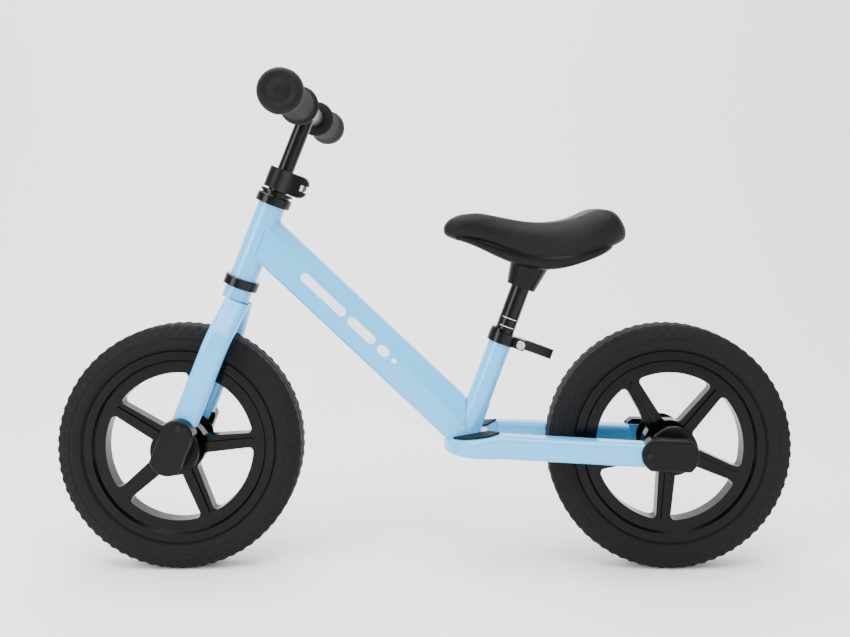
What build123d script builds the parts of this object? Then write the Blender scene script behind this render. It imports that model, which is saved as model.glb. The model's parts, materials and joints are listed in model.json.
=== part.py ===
from build123d import *
import math
import os

# Child's balance bike.  Millimetres, +Z up, ground at Z = 0.  The bike faces -X, its left side is -Y,
# and the origin lies on the ground half way between the axles.

# ---- driving dimensions ----
WHEEL_RADIUS = 140.0
WHEELBASE = 560.0
TYRE_HALF_WIDTH = 22.0
RIM_RADIUS = 109.0          # outer edge of the rim lips
WINDOW_RADIUS = 84.5        # outer edge of the openings between spokes
HUB_RADIUS = 30.0
SPOKES = 5
STEER_TILT = 21.4           # steering axis, degrees back from vertical
FORK_OFFSET = 5.0           # axle and legs behind the steering axis
SEAT_TILT = 20.4            # seat tube, degrees back from vertical
SEAT_POINT = (88.3, 259.6)  # X, Z of the seat tube axis at the bottom of the clamp
HEAD_TUBE_RADIUS = 15.9
SEAT_TUBE_RADIUS = 13.4
SEAT_POST_RADIUS = 11.1
STEERER_RADIUS = 11.1
BAR_POST_RADIUS = 9.5
CROSSBAR_RADIUS = 11.1
BAR_HALF_LENGTH = 190.0
GRIP_END = 197.0
TUBE_WALL = 1.6
RUNNING_FIT = 0.05          # radial clearance of parts that turn or slide on each other
AXLE_RADIUS = 4.0

# heights along the steering axis, measured from the level of the front axle
CROWN_BOTTOM = 178.0
CROWN_TOP = 192.5
HEAD_BOTTOM = 204.0
HEAD_TOP = 295.0
COLLAR_BOTTOM = 313.5
COLLAR_TOP = 337.5
BAR_CENTRE = 409.7

FRONT_AXLE_X = -WHEELBASE / 2
REAR_AXLE_X = WHEELBASE / 2
os.makedirs("parts", exist_ok=True)

sin_steer = math.sin(math.radians(STEER_TILT))
cos_steer = math.cos(math.radians(STEER_TILT))
sin_seat = math.sin(math.radians(SEAT_TILT))
cos_seat = math.cos(math.radians(SEAT_TILT))


def steer_plane(height, back=0.0, side=0.0):
    """Plane square to the steering axis: local x points back, local y to the right of the bike."""
    x = FRONT_AXLE_X + (back - FORK_OFFSET) * cos_steer + height * sin_steer
    z = WHEEL_RADIUS - (back - FORK_OFFSET) * sin_steer + height * cos_steer
    return Plane(origin=(x, side, z), x_dir=(cos_steer, 0, -sin_steer), z_dir=(sin_steer, 0, cos_steer))


def seat_plane(height, back=0.0, side=0.0):
    """Plane square to the seat tube: local x points back, local y to the right of the bike."""
    x = SEAT_POINT[0] + back * cos_seat + height * sin_seat
    z = SEAT_POINT[1] - back * sin_seat + height * cos_seat
    return Plane(origin=(x, side, z), x_dir=(cos_seat, 0, -sin_seat), z_dir=(sin_seat, 0, cos_seat))


def side_plane(x, z, tilt=0.0, side=0.0):
    """Upright plane facing the left of the bike: local x points back and down by tilt."""
    lean = math.radians(tilt)
    return Plane(origin=(x, side, z), x_dir=(math.cos(lean), 0, -math.sin(lean)), z_dir=(0, -1, 0))


def save(part, name):
    """Writes one named piece of the bike."""
    part.label = name
    export_step(part, f"parts/{name}.step")


def save_ring_pair(name, x, z, tilt, inner, outer, near, far):
    """Two equal rings on a cross axle, one each side, from near to far off the middle plane."""
    with BuildPart() as rings:
        for start in (near, -far):
            with BuildSketch(side_plane(x, z, tilt, side=start + far - near)):
                Circle(outer)
                Circle(inner, mode=Mode.SUBTRACT)
            extrude(amount=far - near)
    save(rings.part, name)


# ---- wheels: foam tyre, moulded rim with five spokes, bearings ----
LIP_FOOT = 15.0             # half width of the rim inside its lips
BEARING_RADIUS = 11.0
BEARING_OUTER_FACE = 34.0
BEARING_WIDTH = 7.0
RIM_HALF_WIDTH = 18.5
WEB_SIDE = -7.0             # the spokes stand nearer the left face of the rim
WEB_HALF = 7.5
SEAT_OF_TYRE = 101.5        # radius of the channel floor that the tyre sits on


def save_wheel(name, x, first_spoke):
    """One wheel on a cross axle at x, its first spoke at an angle above the rearward direction."""
    axle = Axis((x, 0, WHEEL_RADIUS), (0, 1, 0))
    radial = Plane(origin=(x, 0, WHEEL_RADIUS), x_dir=(0, 1, 0), z_dir=(1, 0, 0))
    face = side_plane(x, WHEEL_RADIUS)
    web_face = side_plane(x, WHEEL_RADIUS, side=WEB_SIDE)

    with BuildPart() as tyre:
        with BuildSketch(radial):
            with BuildLine():
                bead = RIM_HALF_WIDTH - 3.0
                Polyline((-bead, RIM_RADIUS - 1), (-bead, SEAT_OF_TYRE), (bead, SEAT_OF_TYRE),
                         (bead, RIM_RADIUS - 1), (TYRE_HALF_WIDTH - 3.5, RIM_RADIUS + 1))
                ThreePointArc((TYRE_HALF_WIDTH - 3.5, RIM_RADIUS + 1), (TYRE_HALF_WIDTH, 121.0),
                              (TYRE_HALF_WIDTH - 2.5, 132.5))
                ThreePointArc((TYRE_HALF_WIDTH - 2.5, 132.5), (18.0, 136.7), (15.0, 138.8))
                ThreePointArc((15.0, 138.8), (0, WHEEL_RADIUS), (-15.0, 138.8))
                ThreePointArc((-15.0, 138.8), (-18.0, 136.7), (2.5 - TYRE_HALF_WIDTH, 132.5))
                ThreePointArc((2.5 - TYRE_HALF_WIDTH, 132.5), (-TYRE_HALF_WIDTH, 121.0),
                              (3.5 - TYRE_HALF_WIDTH, RIM_RADIUS + 1))
                Line((3.5 - TYRE_HALF_WIDTH, RIM_RADIUS + 1), (-bead, RIM_RADIUS - 1))
            make_face()
        revolve(axis=axle)
    save(tyre.part, f"{name}_tyre")

    with BuildSketch(face) as windows:
        Circle(WINDOW_RADIUS)
        Circle(HUB_RADIUS, mode=Mode.SUBTRACT)
        with PolarLocations(0, SPOKES, start_angle=first_spoke):
            Polygon((0, -10.5), (WINDOW_RADIUS + 5, -8), (WINDOW_RADIUS + 5, 8), (0, 10.5), align=None,
                    mode=Mode.SUBTRACT)
        fillet(windows.vertices(), 5.0)

    with BuildPart() as rim:
        with BuildSketch(radial):
            with BuildLine():
                lip = RIM_HALF_WIDTH - 3.0
                Polyline((-LIP_FOOT, WINDOW_RADIUS - 2), (-LIP_FOOT, 97), (-RIM_HALF_WIDTH, 99.5),
                         (-RIM_HALF_WIDTH, RIM_RADIUS), (-lip, RIM_RADIUS - 1), (-lip, SEAT_OF_TYRE), (lip, SEAT_OF_TYRE),
                         (lip, RIM_RADIUS - 1), (RIM_HALF_WIDTH, RIM_RADIUS), (RIM_HALF_WIDTH, 99.5),
                         (LIP_FOOT, 97), (LIP_FOOT, 95), (1, WINDOW_RADIUS - 2), close=True)
            make_face()
        revolve(axis=axle)
        with BuildSketch(web_face):
            Circle(WINDOW_RADIUS + 4)
        extrude(amount=WEB_HALF, both=True)
        extrude(windows.sketch, amount=20.0, both=True, mode=Mode.SUBTRACT)
        with BuildSketch(web_face):
            with PolarLocations(HUB_RADIUS + 25, SPOKES, start_angle=first_spoke):
                SlotOverall(60, 5.0)
        extrude(amount=WEB_HALF + 2.5, both=True)
        with BuildSketch(face):
            Circle(17.0)
        extrude(amount=BEARING_OUTER_FACE, both=True)
        with BuildSketch(face):
            Circle(8.0)
        extrude(amount=BEARING_OUTER_FACE, both=True, mode=Mode.SUBTRACT)
        for side in (-1, 1):
            outer = side_plane(x, WHEEL_RADIUS, side=side * BEARING_OUTER_FACE)
            with BuildSketch(outer):
                Circle(BEARING_RADIUS)
            extrude(amount=side * BEARING_WIDTH, mode=Mode.SUBTRACT)
    save(rim.part, f"{name}_rim")

    save_ring_pair(f"{name}_wheel_bearings", x, WHEEL_RADIUS, 0, AXLE_RADIUS + RUNNING_FIT, BEARING_RADIUS,
                   BEARING_OUTER_FACE - BEARING_WIDTH, BEARING_OUTER_FACE)


save_wheel("front", FRONT_AXLE_X, 5)
save_wheel("rear", REAR_AXLE_X, 49)

# ---- axle hardware, the same at both ends ----
DROPOUT_INNER = {"front": 38.5, "rear": 41.0}
DROPOUT_THICKNESS = 4.0
WASHER = 1.5                # thickness of the washers under the axle nuts
NUT_HEIGHT = 6.5
NUT_HALF_WIDTH = 6.5        # across flats
COVER_LENGTH_UP = 41.0      # from the axle to the end over the tube
COVER_LENGTH_DOWN = 22.0
COVER_HALF_HEIGHT = 17.3
COVER_FACE = 62.0
COVER_WALL = 2.0
TUBE_END = 36.0             # the fork legs and stays stop this far from the axle
AXLE_TILT = {"front": 90 - STEER_TILT, "rear": 178.0}
AXLE_X = {"front": FRONT_AXLE_X, "rear": REAR_AXLE_X}
TUBE_OUTER_FACE = {"front": 47.5, "rear": 57.0}


def axle_plane(end, side=0.0):
    """Side plane at an axle, local x running up the fork leg or forward along the stay."""
    run = math.radians(AXLE_TILT[end])
    origin = (AXLE_X[end], side, WHEEL_RADIUS)
    return Plane(origin=origin, x_dir=(math.cos(run), 0, math.sin(run)), z_dir=(0, -1, 0))


def cover_outline(inset):
    """Outline of an axle cover: a flat-sided slot with a fuller end over the tube."""
    half = COVER_HALF_HEIGHT - inset
    up = COVER_LENGTH_UP - inset
    down = COVER_LENGTH_DOWN - inset
    with BuildSketch() as outline:
        with BuildLine():
            ThreePointArc((up - 11, half), (up, 0), (up - 11, -half))
            Line((up - 11, -half), (9 - down, -half))
            ThreePointArc((9 - down, -half), (-down, 0), (9 - down, half))
            Line((9 - down, half), (up - 11, half))
        make_face()
    return outline.sketch


for end, x in AXLE_X.items():
    inner = DROPOUT_INNER[end]
    outer = inner + DROPOUT_THICKNESS
    nut_face = outer + WASHER + NUT_HEIGHT

    with BuildPart() as axle_rod:
        with BuildSketch(side_plane(x, WHEEL_RADIUS)):
            Circle(AXLE_RADIUS)
        extrude(amount=nut_face + 3, both=True)
    save(axle_rod.part, f"{end}_axle")

    with BuildPart() as spacer:
        with BuildSketch(side_plane(x, WHEEL_RADIUS)):
            Circle(AXLE_RADIUS + 2)
            Circle(AXLE_RADIUS, mode=Mode.SUBTRACT)
        extrude(amount=BEARING_OUTER_FACE - BEARING_WIDTH - 0.3, both=True)
    save(spacer.part, f"{end}_hub_spacer")

    with BuildPart() as washers:
        bands = ((BEARING_OUTER_FACE + 0.3, 35.5, 6.5), (37.0, inner, 9.0), (outer, outer + WASHER, 8.5))
        for near, far, radius in bands:
            for start in (far, -near):
                with BuildSketch(side_plane(x, WHEEL_RADIUS, side=start)):
                    Circle(radius)
                    Circle(AXLE_RADIUS, mode=Mode.SUBTRACT)
                extrude(amount=far - near)
    save(washers.part, f"{end}_axle_washers")

    with BuildPart() as nuts:
        for start in (nut_face, -nut_face + NUT_HEIGHT):
            with BuildSketch(side_plane(x, WHEEL_RADIUS, side=start)):
                RegularPolygon(NUT_HALF_WIDTH, 6, major_radius=False)
                Circle(AXLE_RADIUS, mode=Mode.SUBTRACT)
            extrude(amount=NUT_HEIGHT)
    save(nuts.part, f"{end}_axle_nuts")

    with BuildPart() as discs:
        for side in (-1, 1):
            axis_line = Axis((x, 0, WHEEL_RADIUS), (0, 1, 0))
            with BuildSketch(Plane(origin=(x, 0, WHEEL_RADIUS), x_dir=(0, side, 0), z_dir=(side, 0, 0))):
                with BuildLine():
                    Polyline((35.5, AXLE_RADIUS), (37, AXLE_RADIUS), (37, 26), (35.5, 27.5), (34.3, 27.5),
                             (34.3, 25.5), (35.5, 25.5), close=True)
                make_face()
            revolve(axis=axis_line)
    save(discs.part, f"{end}_dust_discs")

    with BuildPart() as dropouts:
        for start in (outer, -inner):
            with BuildSketch(axle_plane(end, side=start)):
                with Locations((TUBE_END / 2, 0)):
                    Rectangle(TUBE_END, 22)
                Circle(13)
                Circle(AXLE_RADIUS, mode=Mode.SUBTRACT)
            extrude(amount=DROPOUT_THICKNESS)
    save(dropouts.part, f"{end}_dropouts")

    screw_at = COVER_LENGTH_UP - 7.5
    with BuildPart() as covers:
        for side in (-1, 1):
            for depth, inset, mode in ((COVER_FACE - outer, 0, Mode.ADD),
                                       (COVER_FACE - COVER_WALL - outer, COVER_WALL, Mode.SUBTRACT)):
                with BuildSketch(axle_plane(end, side=side * outer)):
                    add(cover_outline(inset))
                extrude(amount=-side * depth, mode=mode)
            with BuildSketch(axle_plane(end, side=side * (outer - 1))):
                with Locations((TUBE_END + 20, 0)):
                    Rectangle(40, 60)
            extrude(amount=-side * (TUBE_OUTER_FACE[end] + 0.2 - outer + 1), mode=Mode.SUBTRACT)
            with BuildSketch(axle_plane(end, side=side * outer)):
                with Locations((screw_at, 0)):
                    Circle(1.6)
            extrude(amount=-side * (COVER_FACE - outer), mode=Mode.SUBTRACT)
        rim_edges = covers.edges().filter_by_position(Axis.Y, COVER_FACE - 0.1, COVER_FACE + 0.1)
        rim_edges += covers.edges().filter_by_position(Axis.Y, -COVER_FACE - 0.1, 0.1 - COVER_FACE)
        fillet(rim_edges.filter_by(lambda edge: edge.length > 15), 3.0)
    save(covers.part, f"{end}_axle_covers")

    with BuildPart() as screws:
        for side in (-1, 1):
            with BuildSketch(axle_plane(end, side=side * COVER_FACE)):
                with Locations((screw_at, 0)):
                    Circle(3.2)
            extrude(amount=side * -1.2)
            with BuildSketch(axle_plane(end, side=side * COVER_FACE)):
                with Locations((screw_at, 0)):
                    Circle(1.6)
            extrude(amount=side * (COVER_FACE - TUBE_OUTER_FACE[end] - 0.4))
    save(screws.part, f"{end}_cover_screws")

# ---- frame ----
BRIDGE_FRONT = 22.0
BRIDGE_REAR = 86.0
BRIDGE_HALF_WIDTH = 49.5
BRIDGE_BOTTOM = 133.0
BRIDGE_TOP_FRONT = 147.5
BRIDGE_TOP_REAR = 159.0
STAY_START = (BRIDGE_REAR, 37.5, 146.0)      # middle of a stay where it leaves the bridge
STAY_END = (REAR_AXLE_X - TUBE_END, 45.0, 139.0)
STAY_WIDTH = 24.0
STAY_HEIGHT = 26.0
DOWN_TUBE_HIGH = (-190.1, 383.2)             # X, Z where the down tube axis meets the head tube axis
DOWN_TUBE_LOW = (62.0, 146.7)
DOWN_TUBE_END = 47.0                         # upright end face of the down tube
STUB_RADIUS = 14.2
STUB_TOP = -76.0                             # along the seat tube axis from SEAT_POINT
SEAT_TUBE_TOP = 8.0


def bridge_plan(inset):
    """Plan of the footrest bridge: half round in front, a shallow V behind."""
    half = BRIDGE_HALF_WIDTH - inset
    middle = BRIDGE_FRONT + BRIDGE_HALF_WIDTH
    rear = BRIDGE_REAR
    inner = STAY_START[1] - STAY_WIDTH / 2 + inset
    notch = middle + 1 - inset
    with BuildSketch(Plane.XY.offset(BRIDGE_BOTTOM + inset)) as plan:
        with BuildLine():
            ThreePointArc((middle, half), (middle - half, 0), (middle, -half))
            Polyline((middle, -half), (rear, -half), (rear, -inner), (notch, -10), (notch, 10),
                     (rear, inner), (rear, half), (middle, half))
        make_face()
    return plan.sketch


def bridge_slope(drop, top):
    """Block between the sloping top of the bridge, lowered by drop, and the level top."""
    with BuildPart() as block:
        with BuildSketch(Plane.XZ.offset(-100)):
            with BuildLine():
                Polyline((BRIDGE_FRONT - 40, BRIDGE_TOP_FRONT - 7.2 - drop),
                         (BRIDGE_REAR + 10, BRIDGE_TOP_REAR + 1.8 - drop),
                         (BRIDGE_REAR + 10, top), (BRIDGE_FRONT - 40, top), close=True)
            make_face()
        extrude(amount=200)
    return block.part


with BuildPart() as footrest_bridge:
    add(bridge_plan(0))
    extrude(amount=40)
    add(bridge_slope(0, 400), mode=Mode.SUBTRACT)
    outer_wall = footrest_bridge.faces().filter_by(GeomType.CYLINDER).sort_by(SortBy.AREA)[-1]
    fillet(outer_wall.edges().filter_by(Axis.Z, reverse=True), 5.0)
    core = bridge_plan(TUBE_WALL)
    with BuildPart(mode=Mode.PRIVATE) as hollow:
        add(core)
        extrude(amount=40)
        add(bridge_slope(TUBE_WALL, 400), mode=Mode.SUBTRACT)
    add(hollow.part, mode=Mode.SUBTRACT)
save(footrest_bridge.part, "footrest_bridge")

stay_run = Vector(*STAY_END) - Vector(*STAY_START)
for name, side in (("left", -1), ("right", 1)):
    run = Vector(stay_run.X, side * stay_run.Y, stay_run.Z)
    start = Vector(STAY_START[0], side * STAY_START[1], STAY_START[2])
    square = Plane(origin=start - run.normalized() * 10, x_dir=(0, 1, 0), z_dir=run)
    with BuildPart() as stay:
        with BuildSketch(square):
            RectangleRounded(STAY_WIDTH, STAY_HEIGHT, 6.0)
        extrude(amount=run.length + 20)
        with BuildSketch(square):
            RectangleRounded(STAY_WIDTH - 2 * TUBE_WALL, STAY_HEIGHT - 2 * TUBE_WALL, 4.5)
        extrude(amount=run.length + 7, mode=Mode.SUBTRACT)
        with BuildSketch(Plane.YZ.offset(BRIDGE_REAR)):
            Rectangle(500, 500)
        extrude(amount=-60, mode=Mode.SUBTRACT)
        with BuildSketch(axle_plane("rear", side=100)):
            with Locations((TUBE_END - 25, 0)):
                Rectangle(50, 60)
        extrude(amount=200, mode=Mode.SUBTRACT)
    save(stay.part, f"stay_{name}")

with BuildPart() as head_tube:
    with BuildSketch(steer_plane(HEAD_BOTTOM)):
        Circle(HEAD_TUBE_RADIUS)
        Circle(HEAD_TUBE_RADIUS - 2, mode=Mode.SUBTRACT)
    extrude(amount=HEAD_TOP - HEAD_BOTTOM)
save(head_tube.part, "head_tube")

with BuildPart() as seat_tube:
    with BuildSketch(seat_plane(STUB_TOP)):
        Circle(SEAT_TUBE_RADIUS)
        Circle(SEAT_POST_RADIUS + RUNNING_FIT, mode=Mode.SUBTRACT)
    extrude(amount=SEAT_TUBE_TOP - STUB_TOP)
save(seat_tube.part, "seat_tube")

with BuildPart() as stub_solid:
    with BuildSketch(seat_plane(STUB_TOP)):
        Circle(STUB_RADIUS)
    extrude(amount=-60)

with BuildPart() as seat_tube_stub:
    add(stub_solid.part)
    with BuildSketch(seat_plane(STUB_TOP)):
        Circle(SEAT_POST_RADIUS + 0.6)
    extrude(amount=-60, mode=Mode.SUBTRACT)
    add(bridge_slope(0, 0), mode=Mode.SUBTRACT)
save(seat_tube_stub.part, "seat_tube_stub")


def down_tube_section(plane, knee, inset):
    """Tube section, local x across the bike, local y up: upright sides over sides that slant inward."""
    with BuildSketch(plane) as section:
        with BuildLine():
            Polyline((11.5, 24.5), (15.4, 20.5), (15.4, knee), (7, -25), (-7, -25), (-15.4, knee),
                     (-15.4, 20.5), (-11.5, 24.5), close=True)
        make_face()
        if inset:
            offset(amount=-inset, kind=Kind.INTERSECTION, mode=Mode.REPLACE)
        fillet(section.vertices(), 3.0 - inset)
    return section.sketch


run = Vector(DOWN_TUBE_LOW[0] - DOWN_TUBE_HIGH[0], 0, DOWN_TUBE_LOW[1] - DOWN_TUBE_HIGH[1])
high_end = Plane(origin=(DOWN_TUBE_HIGH[0], 0, DOWN_TUBE_HIGH[1]), x_dir=(0, -1, 0), z_dir=run)
low_end = high_end.offset(run.length + 25)
high_end = high_end.offset(-20)

with BuildPart() as tube_core:
    loft([down_tube_section(high_end, -12.5, TUBE_WALL), down_tube_section(low_end, 1.0, TUBE_WALL)])
    with BuildSketch(Plane.YZ.offset(DOWN_TUBE_END - 3)):
        Rectangle(300, 1000)
    extrude(amount=100, mode=Mode.SUBTRACT)

with BuildPart() as down_tube:
    loft([down_tube_section(high_end, -12.5, 0), down_tube_section(low_end, 1.0, 0)])
    add(tube_core.part, mode=Mode.SUBTRACT)
    with BuildSketch(Plane.YZ.offset(DOWN_TUBE_END)):
        Rectangle(300, 1000)
    extrude(amount=100, mode=Mode.SUBTRACT)
    with BuildSketch(Plane(origin=steer_plane(0).origin, x_dir=(0, 1, 0), z_dir=(-cos_steer, 0, sin_steer))):
        Rectangle(100, 1200)
    extrude(amount=100, mode=Mode.SUBTRACT)
    with BuildSketch(steer_plane(0)):
        Circle(HEAD_TUBE_RADIUS)
    extrude(amount=400, mode=Mode.SUBTRACT)
    with BuildSketch(seat_plane(STUB_TOP)):
        Circle(SEAT_TUBE_RADIUS)
    extrude(amount=80, mode=Mode.SUBTRACT)
    add(stub_solid.part, mode=Mode.SUBTRACT)
    add(bridge_slope(0, 0), mode=Mode.SUBTRACT)
save(down_tube.part, "down_tube")

with BuildPart() as footrest_pads:
    pad_inset = 7.0
    with BuildSketch(Plane.XY.offset(100)):
        middle = BRIDGE_FRONT + BRIDGE_HALF_WIDTH
        half = BRIDGE_HALF_WIDTH - pad_inset
        with BuildLine():
            ThreePointArc((middle, half), (middle - half * math.sqrt(0.5), half * math.sqrt(0.5)),
                          (middle - half, 0))
            Polyline((middle - half, 0), (middle - 2, 0), (middle - 2, 11), (BRIDGE_REAR - 1, 34),
                     (middle, half))
        make_face()
        mirror(about=Plane.XZ)
        with Locations((middle - 45, 0)):
            Rectangle(90, 35, mode=Mode.SUBTRACT)
    extrude(amount=100)
    add(bridge_slope(0, 0), mode=Mode.SUBTRACT)
    add(bridge_slope(-2.0, 400), mode=Mode.SUBTRACT)
save(footrest_pads.part, "footrest_pads")

# ---- headset: cups pressed into the head tube, bearings, races on the steerer ----
CUP_RADIUS = 20.4
SLEEVE_INNER = 12.4
SLEEVE_DEPTH = 10.0
headset_axis = Axis(steer_plane(0).origin, steer_plane(0).z_dir)


def turned_on_steerer(name, outlines):
    """Turned part about the steering axis; each outline is a list of (radius, height) corners."""
    section = Plane(origin=steer_plane(0).origin, x_dir=steer_plane(0).x_dir, z_dir=(0, -1, 0))
    with BuildPart() as turned:
        for outline in outlines:
            with BuildSketch(section):
                with BuildLine():
                    Polyline(*outline, close=True)
                make_face()
            revolve(axis=headset_axis)
    save(turned.part, name)


bore = HEAD_TUBE_RADIUS - 2
turned_on_steerer("lower_headset_cup", [[
    (SLEEVE_INNER, HEAD_BOTTOM - 4), (17.0, HEAD_BOTTOM - 4), (17.0, HEAD_BOTTOM - 11),
    (CUP_RADIUS, HEAD_BOTTOM - 11),
    (CUP_RADIUS, HEAD_BOTTOM - 1), (CUP_RADIUS - 1, HEAD_BOTTOM), (bore, HEAD_BOTTOM),
    (bore, HEAD_BOTTOM + SLEEVE_DEPTH), (SLEEVE_INNER, HEAD_BOTTOM + SLEEVE_DEPTH)]])
turned_on_steerer("upper_headset_cup", [[
    (SLEEVE_INNER, HEAD_TOP + 4), (17.0, HEAD_TOP + 4), (17.0, HEAD_TOP + 7.5), (CUP_RADIUS, HEAD_TOP + 7.5),
    (CUP_RADIUS, HEAD_TOP + 1), (CUP_RADIUS - 1, HEAD_TOP), (bore, HEAD_TOP),
    (bore, HEAD_TOP - SLEEVE_DEPTH), (SLEEVE_INNER, HEAD_TOP - SLEEVE_DEPTH)]])
bearing_bore = STEERER_RADIUS + RUNNING_FIT
turned_on_steerer("headset_bearings", [
    [(bearing_bore, HEAD_BOTTOM - 8), (17.0, HEAD_BOTTOM - 8), (17.0, HEAD_BOTTOM - 4),
     (bearing_bore, HEAD_BOTTOM - 4)],
    [(bearing_bore, HEAD_TOP + 4), (17.0, HEAD_TOP + 4), (17.0, HEAD_TOP + 7.5),
     (bearing_bore, HEAD_TOP + 7.5)]])
turned_on_steerer("crown_race", [[
    (STEERER_RADIUS, CROWN_TOP), (16.0, CROWN_TOP), (16.0, HEAD_BOTTOM - 8.3),
    (STEERER_RADIUS, HEAD_BOTTOM - 8.3)]])
turned_on_steerer("headset_top_race", [[
    (STEERER_RADIUS, HEAD_TOP + 7.8), (CUP_RADIUS, HEAD_TOP + 7.8), (CUP_RADIUS, HEAD_TOP + 10),
    (CUP_RADIUS - 1, HEAD_TOP + 11), (STEERER_RADIUS, HEAD_TOP + 11)]])
turned_on_steerer("headset_locknut", [[
    (STEERER_RADIUS, HEAD_TOP + 11), (16.5, HEAD_TOP + 11), (16.5, HEAD_TOP + 13.5), (19.0, HEAD_TOP + 13.5),
    (19.0, HEAD_TOP + 16.5), (STEERER_RADIUS, HEAD_TOP + 16.5)]])

# ---- fork ----
LEG_SIDE = 39.0
LEG_DEPTH = 29.0            # fore and aft
LEG_THICKNESS = 17.0
LEG_BEND = 132.0            # height where the legs start to close in on the crown

with BuildPart() as steerer_tube:
    with BuildSketch(steer_plane(CROWN_BOTTOM)):
        Circle(STEERER_RADIUS)
        Circle(BAR_POST_RADIUS + RUNNING_FIT, mode=Mode.SUBTRACT)
    extrude(amount=COLLAR_TOP - 1 - CROWN_BOTTOM)
save(steerer_tube.part, "steerer_tube")

with BuildPart() as fork_crown:
    with BuildSketch(steer_plane(CROWN_BOTTOM)):
        SlotOverall(LEG_DEPTH + 3, LEG_DEPTH - 1)
        Circle(STEERER_RADIUS, mode=Mode.SUBTRACT)
    extrude(amount=CROWN_TOP - 3 - CROWN_BOTTOM)
    with BuildSketch(steer_plane(CROWN_TOP - 3)):
        Circle(LEG_DEPTH / 2 + 0.8)
        Circle(STEERER_RADIUS, mode=Mode.SUBTRACT)
    extrude(amount=3)
save(fork_crown.part, "fork_crown")

for name, side in (("left", -1), ("right", 1)):
    across = Plane(origin=steer_plane(0, FORK_OFFSET).origin, x_dir=(0, side, 0),
                   z_dir=(side * cos_steer, 0, -side * sin_steer))
    with BuildPart() as leg:
        for start, wall, mode in ((TUBE_END, 0, Mode.ADD), (TUBE_END + 3, TUBE_WALL, Mode.SUBTRACT)):
            with BuildLine(across) as leg_line:
                FilletPolyline((LEG_SIDE, start), (LEG_SIDE, LEG_BEND), (2, CROWN_BOTTOM + 8), radius=45)
            with BuildSketch(steer_plane(start, FORK_OFFSET, side * LEG_SIDE)):
                SlotOverall(LEG_DEPTH - 2 * wall, LEG_THICKNESS - 2 * wall)
            sweep(path=leg_line.line, mode=mode)
        with BuildSketch(steer_plane(CROWN_BOTTOM)):
            Rectangle(200, 200)
        extrude(amount=60, mode=Mode.SUBTRACT)
        with BuildSketch(Plane.XZ):
            with Locations((FRONT_AXLE_X, WHEEL_RADIUS)):
                Rectangle(1000, 1000)
        extrude(amount=side * 100, mode=Mode.SUBTRACT)
    save(leg.part, f"fork_leg_{name}")

# ---- handlebar ----
GRIP_START = 65.0
POST_BOTTOM = 236.0

with BuildPart() as crossbar:
    with BuildSketch(Plane(origin=steer_plane(BAR_CENTRE).origin, x_dir=(1, 0, 0), z_dir=(0, -1, 0))):
        Circle(CROSSBAR_RADIUS)
        Circle(CROSSBAR_RADIUS - TUBE_WALL, mode=Mode.SUBTRACT)
    extrude(amount=BAR_HALF_LENGTH, both=True)
save(crossbar.part, "crossbar")

with BuildPart() as bar_post:
    with BuildSketch(steer_plane(POST_BOTTOM)):
        Circle(BAR_POST_RADIUS)
        Circle(BAR_POST_RADIUS - TUBE_WALL, mode=Mode.SUBTRACT)
    extrude(amount=BAR_CENTRE - POST_BOTTOM)
    with BuildSketch(Plane(origin=steer_plane(BAR_CENTRE).origin, x_dir=(1, 0, 0), z_dir=(0, -1, 0))):
        Circle(CROSSBAR_RADIUS)
    extrude(amount=60, both=True, mode=Mode.SUBTRACT)
save(bar_post.part, "bar_post")

grip_axis = Axis(steer_plane(BAR_CENTRE).origin, (0, 1, 0))
for name, side in (("left", -1), ("right", 1)):
    grip_section = Plane(origin=steer_plane(BAR_CENTRE).origin, x_dir=(0, side, 0), z_dir=(side, 0, 0))
    with BuildPart() as grip:
        with BuildSketch(grip_section):
            with BuildLine():
                Polyline((BAR_HALF_LENGTH, 0), (BAR_HALF_LENGTH, CROSSBAR_RADIUS),
                         (GRIP_START, CROSSBAR_RADIUS), (GRIP_START, 19.5))
                ThreePointArc((GRIP_START, 19.5), (GRIP_START + 4, 22), (GRIP_START + 9, 18))
                Spline((GRIP_START + 9, 18), (GRIP_START + 50, 16.8), (GRIP_START + 95, 16.5),
                       (GRIP_START + 104, 18.5))
                ThreePointArc((GRIP_START + 104, 18.5), (GRIP_START + 118, 22.8), (GRIP_END - 2.5, 19.5))
                ThreePointArc((GRIP_END - 2.5, 19.5), (GRIP_END - 0.7, 17.6), (GRIP_END, 15.0))
                Polyline((GRIP_END, 15.0), (GRIP_END, 0), (BAR_HALF_LENGTH, 0))
            make_face()
        revolve(axis=grip_axis)
    save(grip.part, f"grip_{name}")

# ---- handlebar clamp: split collar on the steerer, cross bolt through its ears, cam lever ----
BAR_EARS = 24.6             # clamp bolt behind the steering axis
BAR_EAR_SIDE = 7.5
BAR_CLAMP_MIDDLE = (COLLAR_BOTTOM + COLLAR_TOP) / 2
BAR_PIN_SIDE = -18.6
BAR_LEVER_ROOT = 10.5
BAR_LEVER_HALF = 12.3
BAR_LEVER_CORNER = 9.0      # rounding of the cam end seen from the side

SEAT_EARS = 22.6            # clamp bolt behind the seat tube axis
SEAT_EAR_SIDE = 6.5
SEAT_CLAMP_MIDDLE = 3.2
SEAT_PIN_SIDE = 12.2
SEAT_LEVER_ROOT = 5.4
SEAT_LEVER_HALF = 5.8
SEAT_LEVER_TIP = 63.8
PIN_RADIUS = 2.0


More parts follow.
